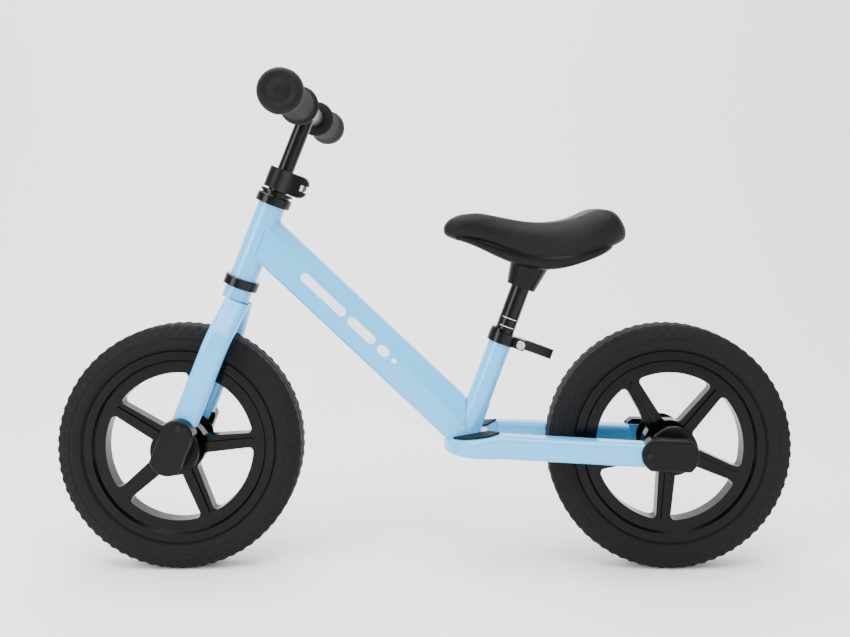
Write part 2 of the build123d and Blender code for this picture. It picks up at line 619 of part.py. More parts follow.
def save_clamp_bolt(name, at, middle, ears, pin_side, radius, eye_radius, eye_half, nut_side):
    """Cross bolt with an eye round the lever pin at one end and a round nut at the other."""
    centre = at(middle, ears).origin
    way = -1 if pin_side < 0 else 1
    with BuildPart() as bolt:
        with BuildSketch(Plane(origin=(centre.X, pin_side, centre.Z), x_dir=(1, 0, 0), z_dir=(0, -way, 0))):
            Circle(radius)
        extrude(amount=abs(pin_side) + nut_side + 6)
        with BuildSketch(at(middle - eye_half, ears, pin_side)):
            Circle(eye_radius)
        extrude(amount=2 * eye_half)
        with BuildSketch(at(middle - 20, ears, pin_side)):
            Circle(PIN_RADIUS)
        extrude(amount=40, mode=Mode.SUBTRACT)
    save(bolt.part, f"{name}_clamp_bolt")
    with BuildPart() as nut:
        nut_foot = (centre.X, -way * nut_side, centre.Z)
        with BuildSketch(Plane(origin=nut_foot, x_dir=(1, 0, 0), z_dir=(0, -way, 0))):
            Circle(radius + 2.6)
            Circle(radius, mode=Mode.SUBTRACT)
        extrude(amount=4.5)
        face_edges = nut.edges().sort_by(Axis.Y)
        chamfer(face_edges[0] if way > 0 else face_edges[-1], 0.6)
    save(nut.part, f"{name}_clamp_nut")


def cut_for_bolt(at, middle, ears, radius):
    """Rod along the clamp bolt, used to bore the ears."""
    centre = at(middle, ears).origin
    with BuildPart() as rod:
        with BuildSketch(Plane(origin=(centre.X, 0, centre.Z), x_dir=(1, 0, 0), z_dir=(0, -1, 0))):
            Circle(radius)
        extrude(amount=30, both=True)
    return rod.part


def save_pin(name, at, middle, ears, side, half):
    """Pivot pin of a clamp lever, parallel to the clamped tube."""
    with BuildPart() as pin:
        with BuildSketch(at(middle - half, ears, side)):
            Circle(PIN_RADIUS)
        extrude(amount=2 * half)
    save(pin.part, name)


with BuildPart() as bar_clamp_band:
    with BuildSketch(steer_plane(COLLAR_BOTTOM)):
        Circle(17.5)
        with Locations((BAR_EARS / 2 + 3, 0)):
            Rectangle(BAR_EARS, 2 * BAR_EAR_SIDE)
        Circle(STEERER_RADIUS, mode=Mode.SUBTRACT)
        with Locations((30, 0)):
            Rectangle(60, 2.4, mode=Mode.SUBTRACT)
    extrude(amount=COLLAR_TOP - COLLAR_BOTTOM)
    with BuildSketch(steer_plane(COLLAR_TOP - 1)):
        Circle(12.5)
        Circle(BAR_POST_RADIUS + RUNNING_FIT, mode=Mode.SUBTRACT)
        with Locations((30, 0)):
            Rectangle(60, 2.4, mode=Mode.SUBTRACT)
    extrude(amount=1)
    add(cut_for_bolt(steer_plane, BAR_CLAMP_MIDDLE, BAR_EARS, 2.5), mode=Mode.SUBTRACT)
save(bar_clamp_band.part, "bar_clamp_band")
save_clamp_bolt("bar", steer_plane, BAR_CLAMP_MIDDLE, BAR_EARS, BAR_PIN_SIDE, 2.5, 4.5, 3.5, BAR_EAR_SIDE)
save_pin("bar_lever_pin", steer_plane, BAR_CLAMP_MIDDLE, BAR_EARS, BAR_PIN_SIDE, 11.0)

bar_pin = steer_plane(BAR_CLAMP_MIDDLE + 0.3, BAR_EARS).origin
with BuildPart() as bar_lever:
    with BuildSketch(steer_plane(BAR_CLAMP_MIDDLE - BAR_LEVER_HALF + 0.3, BAR_EARS, BAR_PIN_SIDE)):
        Circle(BAR_LEVER_ROOT)
        with BuildLine():
            Line((0, -BAR_LEVER_ROOT), (0, 0))
            Polyline((0, 0), (-BAR_EARS + 0.5, -0.6), (-BAR_EARS + 0.5, -4.5))
            ThreePointArc((-BAR_EARS + 0.5, -4.5), (-14, -9.2), (0, -BAR_LEVER_ROOT))
        make_face()
        Circle(PIN_RADIUS + RUNNING_FIT, mode=Mode.SUBTRACT)
    extrude(amount=2 * BAR_LEVER_HALF)
    with BuildSketch(steer_plane(BAR_CLAMP_MIDDLE - 4, BAR_EARS, BAR_PIN_SIDE)):
        Circle(5)
        with BuildLine():
            Polyline((-2.5, -3.5), (-3.4, 0), (-3.4, 14), (14, 14), (14, -12), (4.6, -12), close=True)
        make_face()
    extrude(amount=8, mode=Mode.SUBTRACT)
    with BuildSketch(side_plane(bar_pin.X, bar_pin.Z, STEER_TILT)):
        with Locations((BAR_LEVER_ROOT - 40, 0)):
            RectangleRounded(80, 2 * BAR_LEVER_HALF, BAR_LEVER_CORNER)
    extrude(amount=60, both=True, mode=Mode.INTERSECT)
save(bar_lever.part, "bar_lever")

# ---- seat clamp ----
with BuildPart() as seat_clamp_band:
    with BuildSketch(seat_plane(-3)):
        Circle(16.2)
        with Locations((SEAT_EARS / 2, 0)):
            Rectangle(SEAT_EARS, 2 * SEAT_EAR_SIDE)
        with Locations((SEAT_EARS, 0)):
            Rectangle(10, 2 * SEAT_EAR_SIDE)
        Circle(SEAT_TUBE_RADIUS, mode=Mode.SUBTRACT)
        with Locations((30, 0)):
            Rectangle(60, 2.2, mode=Mode.SUBTRACT)
    extrude(amount=12.5)
    with BuildSketch(seat_plane(SEAT_TUBE_TOP)):
        Circle(15)
        Circle(SEAT_POST_RADIUS + RUNNING_FIT, mode=Mode.SUBTRACT)
        with Locations((30, 0)):
            Rectangle(60, 2.2, mode=Mode.SUBTRACT)
    extrude(amount=1.5)
    with BuildSketch(seat_plane(9)):
        Circle(15.6)
        Circle(12.4, mode=Mode.SUBTRACT)
        with Locations((13, 0)):
            Rectangle(40, 40, mode=Mode.SUBTRACT)
    extrude(amount=4)
    add(cut_for_bolt(seat_plane, SEAT_CLAMP_MIDDLE, SEAT_EARS, 2.5), mode=Mode.SUBTRACT)
save(seat_clamp_band.part, "seat_clamp_band")
save_clamp_bolt("seat", seat_plane, SEAT_CLAMP_MIDDLE, SEAT_EARS, SEAT_PIN_SIDE, 2.5, 3.4, 2.4, SEAT_EAR_SIDE)
save_pin("seat_lever_pin", seat_plane, SEAT_CLAMP_MIDDLE, SEAT_EARS, SEAT_PIN_SIDE, 5.2)

with BuildPart() as seat_lever:
    with BuildSketch(seat_plane(SEAT_CLAMP_MIDDLE - SEAT_LEVER_HALF, SEAT_EARS, SEAT_PIN_SIDE)):
        Circle(SEAT_LEVER_ROOT)
        reach = SEAT_LEVER_TIP - SEAT_EARS
        with BuildLine():
            Polyline((0, SEAT_LEVER_ROOT), (0, 0), (6, -0.6))
            ThreePointArc((6, -0.6), (22, 2.6), (reach, 2.0))
            Line((reach, 2.0), (reach, 5.2))
            ThreePointArc((reach, 5.2), (20, 5.8), (0, SEAT_LEVER_ROOT))
        make_face()
        Circle(PIN_RADIUS + RUNNING_FIT, mode=Mode.SUBTRACT)
    extrude(amount=2 * SEAT_LEVER_HALF)
    with BuildSketch(seat_plane(SEAT_CLAMP_MIDDLE - 2.8, SEAT_EARS, SEAT_PIN_SIDE)):
        Circle(3.8)
        with BuildLine():
            Polyline((2.0, 3.0), (3.4, 0), (3.4, -9.5), (-9, -9.5), (-9, 9.5), (-4.0, 9.5), close=True)
        make_face()
    extrude(amount=5.6, mode=Mode.SUBTRACT)
save(seat_lever.part, "seat_lever")

# ---- seat: post, saddle base with its neck, soft top, grub screw behind the neck ----
SEAT_POST_BOTTOM = -55.0
SEAT_POST_TOP = 96.0
NECK_BOTTOM = 65.5
NECK_RADIUS = 16.8
NECK_HEIGHT = 34.0
NECK_FLARE = 11.0           # degrees that the neck opens towards the saddle
SADDLE_SCREW_AT = 78.0
SADDLE_SCREW_RADIUS = 3.0
SADDLE_SCREW_LENGTH = 7.0

post_back = Plane(origin=seat_plane(SADDLE_SCREW_AT, SEAT_POST_RADIUS).origin, x_dir=(0, 1, 0),
                  z_dir=(cos_seat, 0, -sin_seat))

with BuildPart() as seat_post:
    with BuildSketch(seat_plane(SEAT_POST_BOTTOM)):
        Circle(SEAT_POST_RADIUS)
        Circle(SEAT_POST_RADIUS - TUBE_WALL, mode=Mode.SUBTRACT)
    extrude(amount=SEAT_POST_TOP - SEAT_POST_BOTTOM)
save(seat_post.part, "seat_post")

# stations along the saddle: X, bottom Z, top Z, width
CUSHION = ((20, 384, 391, 20), (32, 379, 403, 42), (60, 372, 405, 50), (90, 363, 399.5, 58),
           (120, 357, 394.5, 74), (150, 355, 395, 94), (175, 358, 401.5, 116), (200, 366, 411, 126), (217, 373, 405, 110),
           (227, 381, 392, 58))
BASE = ((36, 375.5, 386, 34), (60, 367.5, 380, 42), (90, 353.5, 372, 48), (120, 344, 366, 60),
        (146, 343, 364, 78), (172, 349.5, 367, 98), (195, 359, 373, 106), (210, 368, 379, 90))


def saddle_section(station):
    """Rounded cross-section of the saddle at one station."""
    x, low, high, width = station
    with BuildSketch(Plane(origin=(x, 0, (low + high) / 2), x_dir=(0, 1, 0), z_dir=(1, 0, 0))) as section:
        RectangleRounded(width, high - low, 0.47 * min(width, high - low))
    return section.sketch


with BuildPart() as saddle_cushion:
    loft([saddle_section(station) for station in CUSHION])
save(saddle_cushion.part, "saddle_cushion")

neck_foot = Plane(origin=seat_plane(NECK_BOTTOM).origin, x_dir=(0, 1, 0), z_dir=(sin_seat, 0, cos_seat))

with BuildPart() as saddle_base:
    loft([saddle_section(station) for station in BASE])
    with BuildSketch(neck_foot):
        Circle(NECK_RADIUS)
    extrude(amount=NECK_HEIGHT, taper=-NECK_FLARE)
    add(saddle_cushion.part, mode=Mode.SUBTRACT)
    with BuildSketch(neck_foot):
        Circle(SEAT_POST_RADIUS)
    extrude(amount=SEAT_POST_TOP - NECK_BOTTOM, mode=Mode.SUBTRACT)
    with BuildSketch(post_back):
        Circle(SADDLE_SCREW_RADIUS)
    extrude(amount=30, mode=Mode.SUBTRACT)
save(saddle_base.part, "saddle_base")

with BuildPart() as saddle_screw:
    with BuildSketch(post_back):
        Circle(SADDLE_SCREW_RADIUS)
    extrude(amount=SADDLE_SCREW_LENGTH)
    with BuildSketch(post_back.offset(SADDLE_SCREW_LENGTH)):
        RegularPolygon(1.5, 6, major_radius=False)
    extrude(amount=-3, mode=Mode.SUBTRACT)
save(saddle_screw.part, "saddle_screw")
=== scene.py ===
import json
import math

import bmesh
import bpy
from mathutils import Matrix, Vector
from mathutils.bvhtree import BVHTree


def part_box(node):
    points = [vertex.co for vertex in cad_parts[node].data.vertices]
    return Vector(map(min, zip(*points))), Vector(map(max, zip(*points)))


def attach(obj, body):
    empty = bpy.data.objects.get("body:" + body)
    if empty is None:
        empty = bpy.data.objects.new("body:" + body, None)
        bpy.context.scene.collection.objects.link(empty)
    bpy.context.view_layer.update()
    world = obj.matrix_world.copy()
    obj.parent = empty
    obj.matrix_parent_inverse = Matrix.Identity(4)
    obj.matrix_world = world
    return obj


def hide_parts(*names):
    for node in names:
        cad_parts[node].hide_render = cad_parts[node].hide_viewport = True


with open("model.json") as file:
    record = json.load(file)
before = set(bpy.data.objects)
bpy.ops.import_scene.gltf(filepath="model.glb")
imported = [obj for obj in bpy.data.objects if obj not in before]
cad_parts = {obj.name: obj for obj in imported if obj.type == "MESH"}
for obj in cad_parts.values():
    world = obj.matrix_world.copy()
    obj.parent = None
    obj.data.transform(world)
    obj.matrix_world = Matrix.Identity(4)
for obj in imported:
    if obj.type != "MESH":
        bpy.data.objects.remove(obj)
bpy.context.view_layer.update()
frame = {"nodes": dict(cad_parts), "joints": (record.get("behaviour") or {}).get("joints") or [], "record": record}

MM = 0.001
nodes = frame["nodes"]
joints = {joint["name"]: joint for joint in frame["joints"]}
SEAT = Vector(joints["seat_height"]["axis"]).normalized()   # up the seat tube
ACROSS = Vector((0, 1, 0))                                  # towards the right of the bike
UPWARDS = Vector((0, 0, 1))

# places on the frame, in metres
SEAT_TUBE_TOP = Vector((0.0883, 0, 0.2596))
DOWN_TUBE_HIGH = Vector((-0.1901, 0, 0.3832))
DOWN_TUBE_LOW = Vector((0.062, 0, 0.1467))

# sizes in millimetres, unless a name says otherwise
MERGE = 1e-6                    # metres between points that are one
CAD_MERGE = 1e-5                # the same for a CAD node's loose triangles
TREAD_STEPS = 144
SHOULDER_RADII = (134.2, 137.8)
SHOULDER_SIDE = 15
RIB_RADII = (130, 131.5)
RIB_SIDE = 19
CROWN_RADIUS = 138
CROWN_SIDES = (8, 14)
GRIP_STEPS = 64
GRIP_RIDGES = 11
GRIP_RIDGE_START = 79
GRIP_RIDGE_PITCH = 7.6
VOXEL = 4.5
CLOTH_PRESSURE = 4
CLOTH_FRAMES = 20
SWELL_CAP = 2.2
SEAM_STEPS = 72
RING_STEPS = 48
HEIGHT_LINES = (17.5, 27.5)     # above the top of the seat tube
HEIGHT_LINE_HALF_WIDTH = 0.35
HEIGHT_LINES_LEFT_OF = -7.5


# ---------------------------------------------------------------- small tools

def srgb(text):
    """An sRGB hex colour as linear RGBA."""
    channels = [int(text[i:i + 2], 16) / 255 for i in (1, 3, 5)]
    linear = [c / 12.92 if c <= 0.04045 else ((c + 0.055) / 1.055) ** 2.4 for c in channels]
    return (*linear, 1.0)


def add_node(tree, kind, links=(), **settings):
    """Adds a shader node; settings are its properties or inputs, links are (input, output socket)."""
    node = tree.nodes.new(kind)
    for name, value in settings.items():
        if hasattr(node, name):
            setattr(node, name, value)
        else:
            node.inputs[name.replace("_", " ")].default_value = value
    for name, source in links:
        tree.links.new(source, node.inputs[name])
    return node


def new_material(name, colour, roughness, **settings):
    """A Principled material with plain values on its own sockets."""
    material = bpy.data.materials.new(name)
    material.use_nodes = True
    shader = material.node_tree.nodes["Principled BSDF"]
    shader.inputs["Base Color"].default_value = srgb(colour)
    shader.inputs["Roughness"].default_value = roughness
    for key, value in settings.items():
        shader.inputs[key.replace("_", " ")].default_value = value
    return material, material.node_tree, shader


def surface_detail(tree, shader, colours, grain_mm, bump_mm, rough=None, detail=4.0):
    """Noise at a real grain size that varies the colour, the roughness and the height of a surface."""
    place = add_node(tree, "ShaderNodeTexCoord")
    noise = add_node(tree, "ShaderNodeTexNoise", [("Vector", place.outputs["Object"])],
                     Scale=1 / (grain_mm * MM), Detail=detail)
    blend = add_node(tree, "ShaderNodeMix", [("Factor", noise.outputs["Fac"])], data_type="RGBA")
    dark, light = colours
    blend.inputs["A"].default_value = srgb(dark)
    blend.inputs["B"].default_value = srgb(light)
    tree.links.new(blend.outputs["Result"], shader.inputs["Base Color"])
    if rough:
        spread = add_node(tree, "ShaderNodeMapRange", [("Value", noise.outputs["Fac"])],
                          To_Min=rough[0], To_Max=rough[1])
        tree.links.new(spread.outputs["Result"], shader.inputs["Roughness"])
    if bump_mm:
        bump = add_node(tree, "ShaderNodeBump", [("Height", noise.outputs["Fac"])],
                        Distance=bump_mm * MM, Strength=1.0)
        tree.links.new(bump.outputs["Normal"], shader.inputs["Normal"])


def finish_mesh(mesh_bm, name, body, material, sharp, stands_for=()):
    """Turns a bmesh into a piece that rides on a body; edges over sharp degrees stay crisp."""
    bmesh.ops.remove_doubles(mesh_bm, verts=mesh_bm.verts, dist=MERGE)
    bmesh.ops.recalc_face_normals(mesh_bm, faces=mesh_bm.faces)
    mesh = bpy.data.meshes.new(name)
    mesh_bm.to_mesh(mesh)
    mesh_bm.free()
    piece = bpy.data.objects.new(name, mesh)
    bpy.context.scene.collection.objects.link(piece)
    mesh.materials.append(material)
    mesh.shade_smooth()
    mesh.set_sharp_from_angle(angle=math.radians(sharp))
    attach(piece, body)
    if stands_for:
        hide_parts(*stands_for)


# ---------------------------------------------------------------- finishes

def painted_blue():
    """Light blue gloss enamel: a hard clear shine over flat colour, with the faintest orange peel."""
    material, tree, shader = new_material("gloss_blue_enamel", "#50b8f6", 0.2,
                                          Coat_Weight=0.4, Coat_Roughness=0.05)
    surface_detail(tree, shader, ("#4ab3f4", "#57bef8"), 6.0, 0.008, (0.17, 0.26))
    return material


def gloss_black_coat():
    """Black powder coat on steel: a dark skin with a broad bright streak and a fine texture."""
    material, tree, shader = new_material("gloss_black_coated_steel", "#0b0b0c", 0.22,
                                          Specular_IOR_Level=0.13,
                                          Coat_Weight=0.15, Coat_Roughness=0.08)
    surface_detail(tree, shader, ("#050506", "#0b0b0c"), 1.2, 0.01, (0.2, 0.3))
    return material


def clamp_nylon():
    """Glass-filled nylon clamps and levers: black, satin, with a very fine moulded grain."""
    material, tree, shader = new_material("satin_black_nylon", "#121213", 0.38, Specular_IOR_Level=0.13)
    surface_detail(tree, shader, ("#060607", "#0c0c0d"), 0.7, 0.02, (0.32, 0.45))
    return material


def bright_zinc():
    """Zinc plated bolts and nuts: pale grey metal with soft, slightly cloudy reflections."""
    material, tree, shader = new_material("bright_zinc_plate", "#c9ccd0", 0.25, Metallic=1.0)
    surface_detail(tree, shader, ("#b9bdc3", "#d6d8da"), 1.5, 0.004, (0.18, 0.36))
    return material


def bearing_steel():
    """Ground bearing steel: darker and smoother than the zinc."""
    material, tree, shader = new_material("ground_bearing_steel", "#9ea1a6", 0.18, Metallic=1.0)
    surface_detail(tree, shader, ("#92959a", "#aaacb0"), 0.9, 0.003, (0.14, 0.24))
    return material


def foam_black():
    """Closed-cell foam tyre: dull charcoal with a fine pitted skin that greys where it faces the light."""
    material, tree, shader = new_material("matte_black_foam", "#1c1d20", 0.7, Specular_IOR_Level=0.13)
    surface_detail(tree, shader, ("#0d0d0e", "#181819"), 1.1, 0.05, (0.6, 0.8), detail=6.0)
    return material


def rim_gloss():
    """Moulded rim: glossy black polypropylene with sharp reflections at every step."""
    material, tree, shader = new_material("gloss_black_polypropylene", "#0a0a0b", 0.16,
                                          Specular_IOR_Level=0.13)
    surface_detail(tree, shader, ("#040405", "#080809"), 8.0, 0.012, (0.13, 0.22))
    return material


def cover_satin():
    """Axle covers: satin black moulding, a little greyer than the rims."""
    material, tree, shader = new_material("satin_black_moulding", "#131416", 0.33, Specular_IOR_Level=0.13)
    surface_detail(tree, shader, ("#070708", "#0e0e10"), 0.9, 0.015, (0.28, 0.4))
    return material


def grip_rubber():
    """Soft grips: dull black rubber with a dry, dusty sheen."""
    material, tree, shader = new_material("dull_black_rubber", "#1a1b1c", 0.62, Specular_IOR_Level=0.13)
    surface_detail(tree, shader, ("#0d0e0e", "#191919"), 0.8, 0.03, (0.55, 0.72), detail=6.0)
    return material


def pad_rubber():
    """Foot pads: black rubber with a coarse gripping grain."""
    material, tree, shader = new_material("grained_pad_rubber", "#18191a", 0.6, Specular_IOR_Level=0.13)
    surface_detail(tree, shader, ("#070708", "#171718"), 1.0, 0.18, (0.5, 0.7), detail=5.0)
    return material


def saddle_shell():
    """Saddle base: semi-gloss black plastic."""
    material, tree, shader = new_material("semi_gloss_saddle_plastic", "#121214", 0.3,
                                          Specular_IOR_Level=0.13)
    surface_detail(tree, shader, ("#070708", "#0d0d0f"), 1.0, 0.01, (0.25, 0.38))
    return material


def saddle_skin():
    """Saddle skin: soft black vinyl with a broad dull sheen and a leather-like grain."""
    material, tree, shader = new_material("soft_black_vinyl", "#1b1c1e", 0.5, Specular_IOR_Level=0.13)
    surface_detail(tree, shader, ("#0a0a0b", "#141415"), 0.9, 0.05, (0.45, 0.58), detail=3.0)
    return material


FINISHES = {
    "paint_blue": painted_blue(),
    "black_steel": gloss_black_coat(),
    "clamp_plastic": clamp_nylon(),
    "zinc_steel": bright_zinc(),
    "bearing_steel": bearing_steel(),
    "foam_tyre": foam_black(),
    "rim_plastic": rim_gloss(),
    "cover_plastic": cover_satin(),
    "grip_rubber": grip_rubber(),
    "pad_rubber": pad_rubber(),
    "saddle_shell": saddle_shell(),
    "saddle_skin": saddle_skin(),
}
for part in frame["record"]["subparts"]:
    cad_mesh = nodes[part["node"]].data
    cad_mesh.materials.clear()
    cad_mesh.materials.append(FINISHES[part["material_slot"]])


# ---------------------------------------------------------------- building the bike's pieces

def turned(points, centre, along, steps, closed=False):
    """A profile of (distance along the axis, radius), spun a full turn about a level axis."""
    mesh_bm = bmesh.new()
    verts = [mesh_bm.verts.new(centre + along * a * MM + UPWARDS * r * MM) for a, r in points]
    edges = [mesh_bm.edges.new(pair) for pair in zip(verts, verts[1:])]
    if closed:
        edges.append(mesh_bm.edges.new((verts[-1], verts[0])))
    bmesh.ops.spin(mesh_bm, geom=verts + edges, cent=centre, axis=along, angle=math.tau, steps=steps,
                   use_merge=True, use_duplicate=False)
    bmesh.ops.remove_doubles(mesh_bm, verts=mesh_bm.verts, dist=MERGE)
    bmesh.ops.recalc_face_normals(mesh_bm, faces=mesh_bm.faces)
    return mesh_bm


def raise_blocks(mesh_bm, faces, rim, height):
    """Each face becomes a block of its own, drawn in by rim and lifted by height."""
    bmesh.ops.inset_individual(mesh_bm, faces=faces, thickness=rim * MM, depth=height * MM,
                               use_even_offset=True)


def foam_tyre(body):
    """Foam tyre: shoulder lugs, a ring of short sidewall ribs, a raised ridge and a smooth inner band."""
    half = [(0, 139.3), (5.5, 139.2), (6.6, 138.4), (8.0, 139.1), (14.2, 138.6), (18.9, 135.4),
            (20.2, 132.6), (20.8, 128.4), (21.4, 127.6), (21.9, 126.4), (21.8, 124.8), (21.2, 124.0),
            (21.6, 121.0), (21.0, 117.0), (19.8, 113.6), (19.2, 112.4), (18.2, 112.0), (18.0, 111.2),
            (18.4, 110.6), (16.2, 109.0), (15.4, 108.6), (15.4, 101.7)]
    profile = [(-a, r) for a, r in reversed(half)] + half[1:]
    hub = Vector(joints[f"{body}_spin"]["pos_m"])
    mesh_bm = turned(profile, hub, ACROSS, TREAD_STEPS, closed=True)
    lugs, ribs, crown_blocks = [], [], []
    for face in mesh_bm.faces:
        spot = face.calc_center_median() - hub
        side = abs(spot.y) / MM
        radius = math.hypot(spot.x, spot.z) / MM
        turns = math.atan2(spot.z, spot.x) / math.tau + 1
        step = int(turns * TREAD_STEPS + 0.01)      # the 0.01 keeps rounding off the borders
        staggered = step % 2 == (0 if spot.y < 0 else 1)
        if SHOULDER_RADII[0] < radius < SHOULDER_RADII[1] and side > SHOULDER_SIDE:
            if staggered:
                lugs.append(face)
        elif RIB_RADII[0] < radius < RIB_RADII[1] and side > RIB_SIDE and step % 2:
            ribs.append(face)
        elif radius > CROWN_RADIUS and CROWN_SIDES[0] < side < CROWN_SIDES[1] and staggered:
            crown_blocks.append(face)
    raise_blocks(mesh_bm, lugs, rim=0.35, height=1.0)
    raise_blocks(mesh_bm, crown_blocks, rim=0.4, height=0.45)
    raise_blocks(mesh_bm, ribs, rim=0.7, height=0.5)
    finish_mesh(mesh_bm, f"{body}_foam_tyre", body, FINISHES["foam_tyre"],
                sharp=38, stands_for=(body.replace("_wheel", "_tyre"),))


def handlebar_grip(side_name, side):
    """Rubber grip: big round end with a ring and a dimple, ridged waist and an inner flange."""
    low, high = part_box("crossbar")
    centre = Vector(((low.x + high.x) / 2, 0, (low.z + high.z) / 2))
    profile = [(65, 11.3), (65, 18.6), (65.8, 20.2), (67.6, 21.2), (70, 21.4), (72.4, 20.6), (74, 18.8),
               (76, 17.6)]
    for ridge in range(GRIP_RIDGES):
        start = GRIP_RIDGE_START + ridge * GRIP_RIDGE_PITCH
        profile += [(start, 17.2), (start + 0.9, 16.5), (start + 2.1, 16.5), (start + 3.0, 17.2)]
    profile += [(166, 17.6), (170, 18.9), (176, 21.4), (184, 22.8), (191, 22.2), (194.6, 20.0), (196.2, 18.6),
                (196.7, 17.4), (196.3, 16.6), (196.2, 12.7), (195.7, 12.2), (195.7, 11.7), (196.2, 11.2),
                (196.2, 3.4), (195.5, 2.9), (195.3, 0.01)]
    mesh_bm = turned(profile, centre, ACROSS * side, GRIP_STEPS)
    finish_mesh(mesh_bm, f"soft_grip_{side_name}", "handlebar", FINISHES["grip_rubber"],
                sharp=50, stands_for=(f"grip_{side_name}",))


def copy_of(node):
    """A merged bmesh copy of a CAD node's mesh."""
    mesh_bm = bmesh.new()
    mesh_bm.from_mesh(nodes[node].data)
    bmesh.ops.remove_doubles(mesh_bm, verts=mesh_bm.verts, dist=CAD_MERGE)
    return mesh_bm


def stuffed_saddle():
    """The soft top: the pad's own form, blown up as tight cloth so its crown and sides swell smoothly."""
    mesh_bm = copy_of("saddle_cushion")
    bmesh.ops.recalc_face_normals(mesh_bm, faces=mesh_bm.faces)
    mesh = bpy.data.meshes.new("saddle_pad")
    mesh_bm.to_mesh(mesh)
    mesh_bm.free()
    pad = bpy.data.objects.new("saddle_pad", mesh)
    bpy.context.scene.collection.objects.link(pad)
    bpy.context.view_layer.objects.active = pad
    pad.select_set(True)
    grid = pad.modifiers.new("even grid", "REMESH")
    grid.mode = "VOXEL"
    grid.voxel_size = VOXEL * MM
    bpy.ops.object.modifier_apply(modifier=grid.name)
    stepped = bmesh.new()
    stepped.from_mesh(pad.data)
    for _ in range(3):
        bmesh.ops.smooth_vert(stepped, verts=stepped.verts, factor=0.5,
                              use_axis_x=True, use_axis_y=True, use_axis_z=True)
    stepped.normal_update()
    before = [vert.co.copy() for vert in stepped.verts]
    stepped.to_mesh(pad.data)
    stepped.free()
    cloth = pad.modifiers.new("cloth", "CLOTH")
    cloth.settings.use_pressure = True
    cloth.settings.uniform_pressure_force = CLOTH_PRESSURE
    cloth.settings.effector_weights.gravity = 0
    cloth.settings.quality = 6
    for number in range(1, CLOTH_FRAMES + 1):
        bpy.context.scene.frame_set(number)
    bpy.ops.object.modifier_apply(modifier=cloth.name)
    bpy.context.scene.frame_set(1)
    shortest = 1e-9     # stops a division by nothing where a point didn't move
    for vert, start in zip(pad.data.vertices, before):
        move = vert.co - start
        vert.co = start + move * min(1, SWELL_CAP * MM / max(move.length, shortest))
    pad.data.materials.append(FINISHES["saddle_skin"])
    pad.data.shade_smooth()
    skin = pad.modifiers.new("smooth skin", "SUBSURF")
    skin.levels = 1
    skin.render_levels = 1
    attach(pad, "seat")
    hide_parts("saddle_cushion")


def surface_of(node):
    """A ray target made of a CAD node."""
    mesh_bm = bmesh.new()
    mesh_bm.from_mesh(nodes[node].data)
    tree = BVHTree.FromBMesh(mesh_bm)
    mesh_bm.free()
    return tree


def seam_between(tube, wall, start, along):
    """Where a tube runs into a wall: rays find the tube's skin, then follow it along to the wall."""
    outside = 0.08      # metres from the tube's axis, clear of its skin
    up = along.cross(ACROSS).normalized()
    skin = surface_of(tube)
    target = surface_of(wall)
    ring = []
    for step in range(SEAM_STEPS):
        turn = math.tau * step / SEAM_STEPS
        out = ACROSS * math.cos(turn) + up * math.sin(turn)
        hit = skin.ray_cast(start + out * outside, -out)[0]
        if hit is None:
            continue
        met = target.ray_cast(hit, along)[0]
        if met is not None:
            ring.append(met)
    return ring


def weld_bead(name, ring, thick):
    """A painted bead of weld laid round a seam."""
    line = bpy.data.curves.new(name, "CURVE")
    line.dimensions = "3D"
    line.bevel_depth = thick * MM
    line.bevel_resolution = 3
    line.use_fill_caps = True
    spline = line.splines.new("POLY")
    spline.points.add(len(ring) - 1)
    for point, place in zip(spline.points, ring):
        point.co = (*place, 1)
    spline.use_cyclic_u = True
    bead = bpy.data.objects.new(name, line)
    bpy.context.scene.collection.objects.link(bead)
    line.materials.append(FINISHES["paint_blue"])
    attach(bead, "frame")


def ring_points(centre, axis, radius):
    """Points round an axis, from the left of the bike and back to there."""
    left = -ACROSS
    other = axis.cross(left).normalized()
    turns = [math.tau * step / RING_STEPS for step in range(RING_STEPS + 1)]
    return [centre + (left * math.cos(turn) + other * math.sin(turn)) * radius * MM for turn in turns]


def post_with_height_lines():
    """The seat post's black coat with two short white height lines printed on its left side."""
    material = gloss_black_coat()
    material.name = "gloss_black_coat_with_height_lines"
    tree = material.node_tree
    shader = tree.nodes["Principled BSDF"]
    place = add_node(tree, "ShaderNodeTexCoord")
    along = add_node(tree, "ShaderNodeVectorMath", [(0, place.outputs["Object"])], operation="DOT_PRODUCT")
    along.inputs[1].default_value = SEAT
    split = add_node(tree, "ShaderNodeSeparateXYZ", [("Vector", place.outputs["Object"])])
    shown = add_node(tree, "ShaderNodeMath", [(0, split.outputs["Y"])], operation="LESS_THAN")
    shown.inputs[1].default_value = HEIGHT_LINES_LEFT_OF * MM
    bands = []
    for height in HEIGHT_LINES:
        band = add_node(tree, "ShaderNodeMath", [(0, along.outputs["Value"])], operation="COMPARE")
        band.inputs[1].default_value = SEAT_TUBE_TOP.dot(SEAT) + height * MM
        band.inputs[2].default_value = HEIGHT_LINE_HALF_WIDTH * MM
        bands.append(band.outputs["Value"])
    both = add_node(tree, "ShaderNodeMath", list(enumerate(bands)), operation="ADD")
    lines = add_node(tree, "ShaderNodeMath", [(0, both.outputs["Value"]), (1, shown.outputs["Value"])],
                     operation="MULTIPLY")
    coat = shader.inputs["Base Color"].links[0].from_socket
    printed = add_node(tree, "ShaderNodeMix", [("Factor", lines.outputs["Value"])], data_type="RGBA")
    tree.links.new(coat, printed.inputs["A"])
    printed.inputs["B"].default_value = srgb("#d9dcdc")
    tree.links.new(printed.outputs["Result"], shader.inputs["Base Color"])
    return material


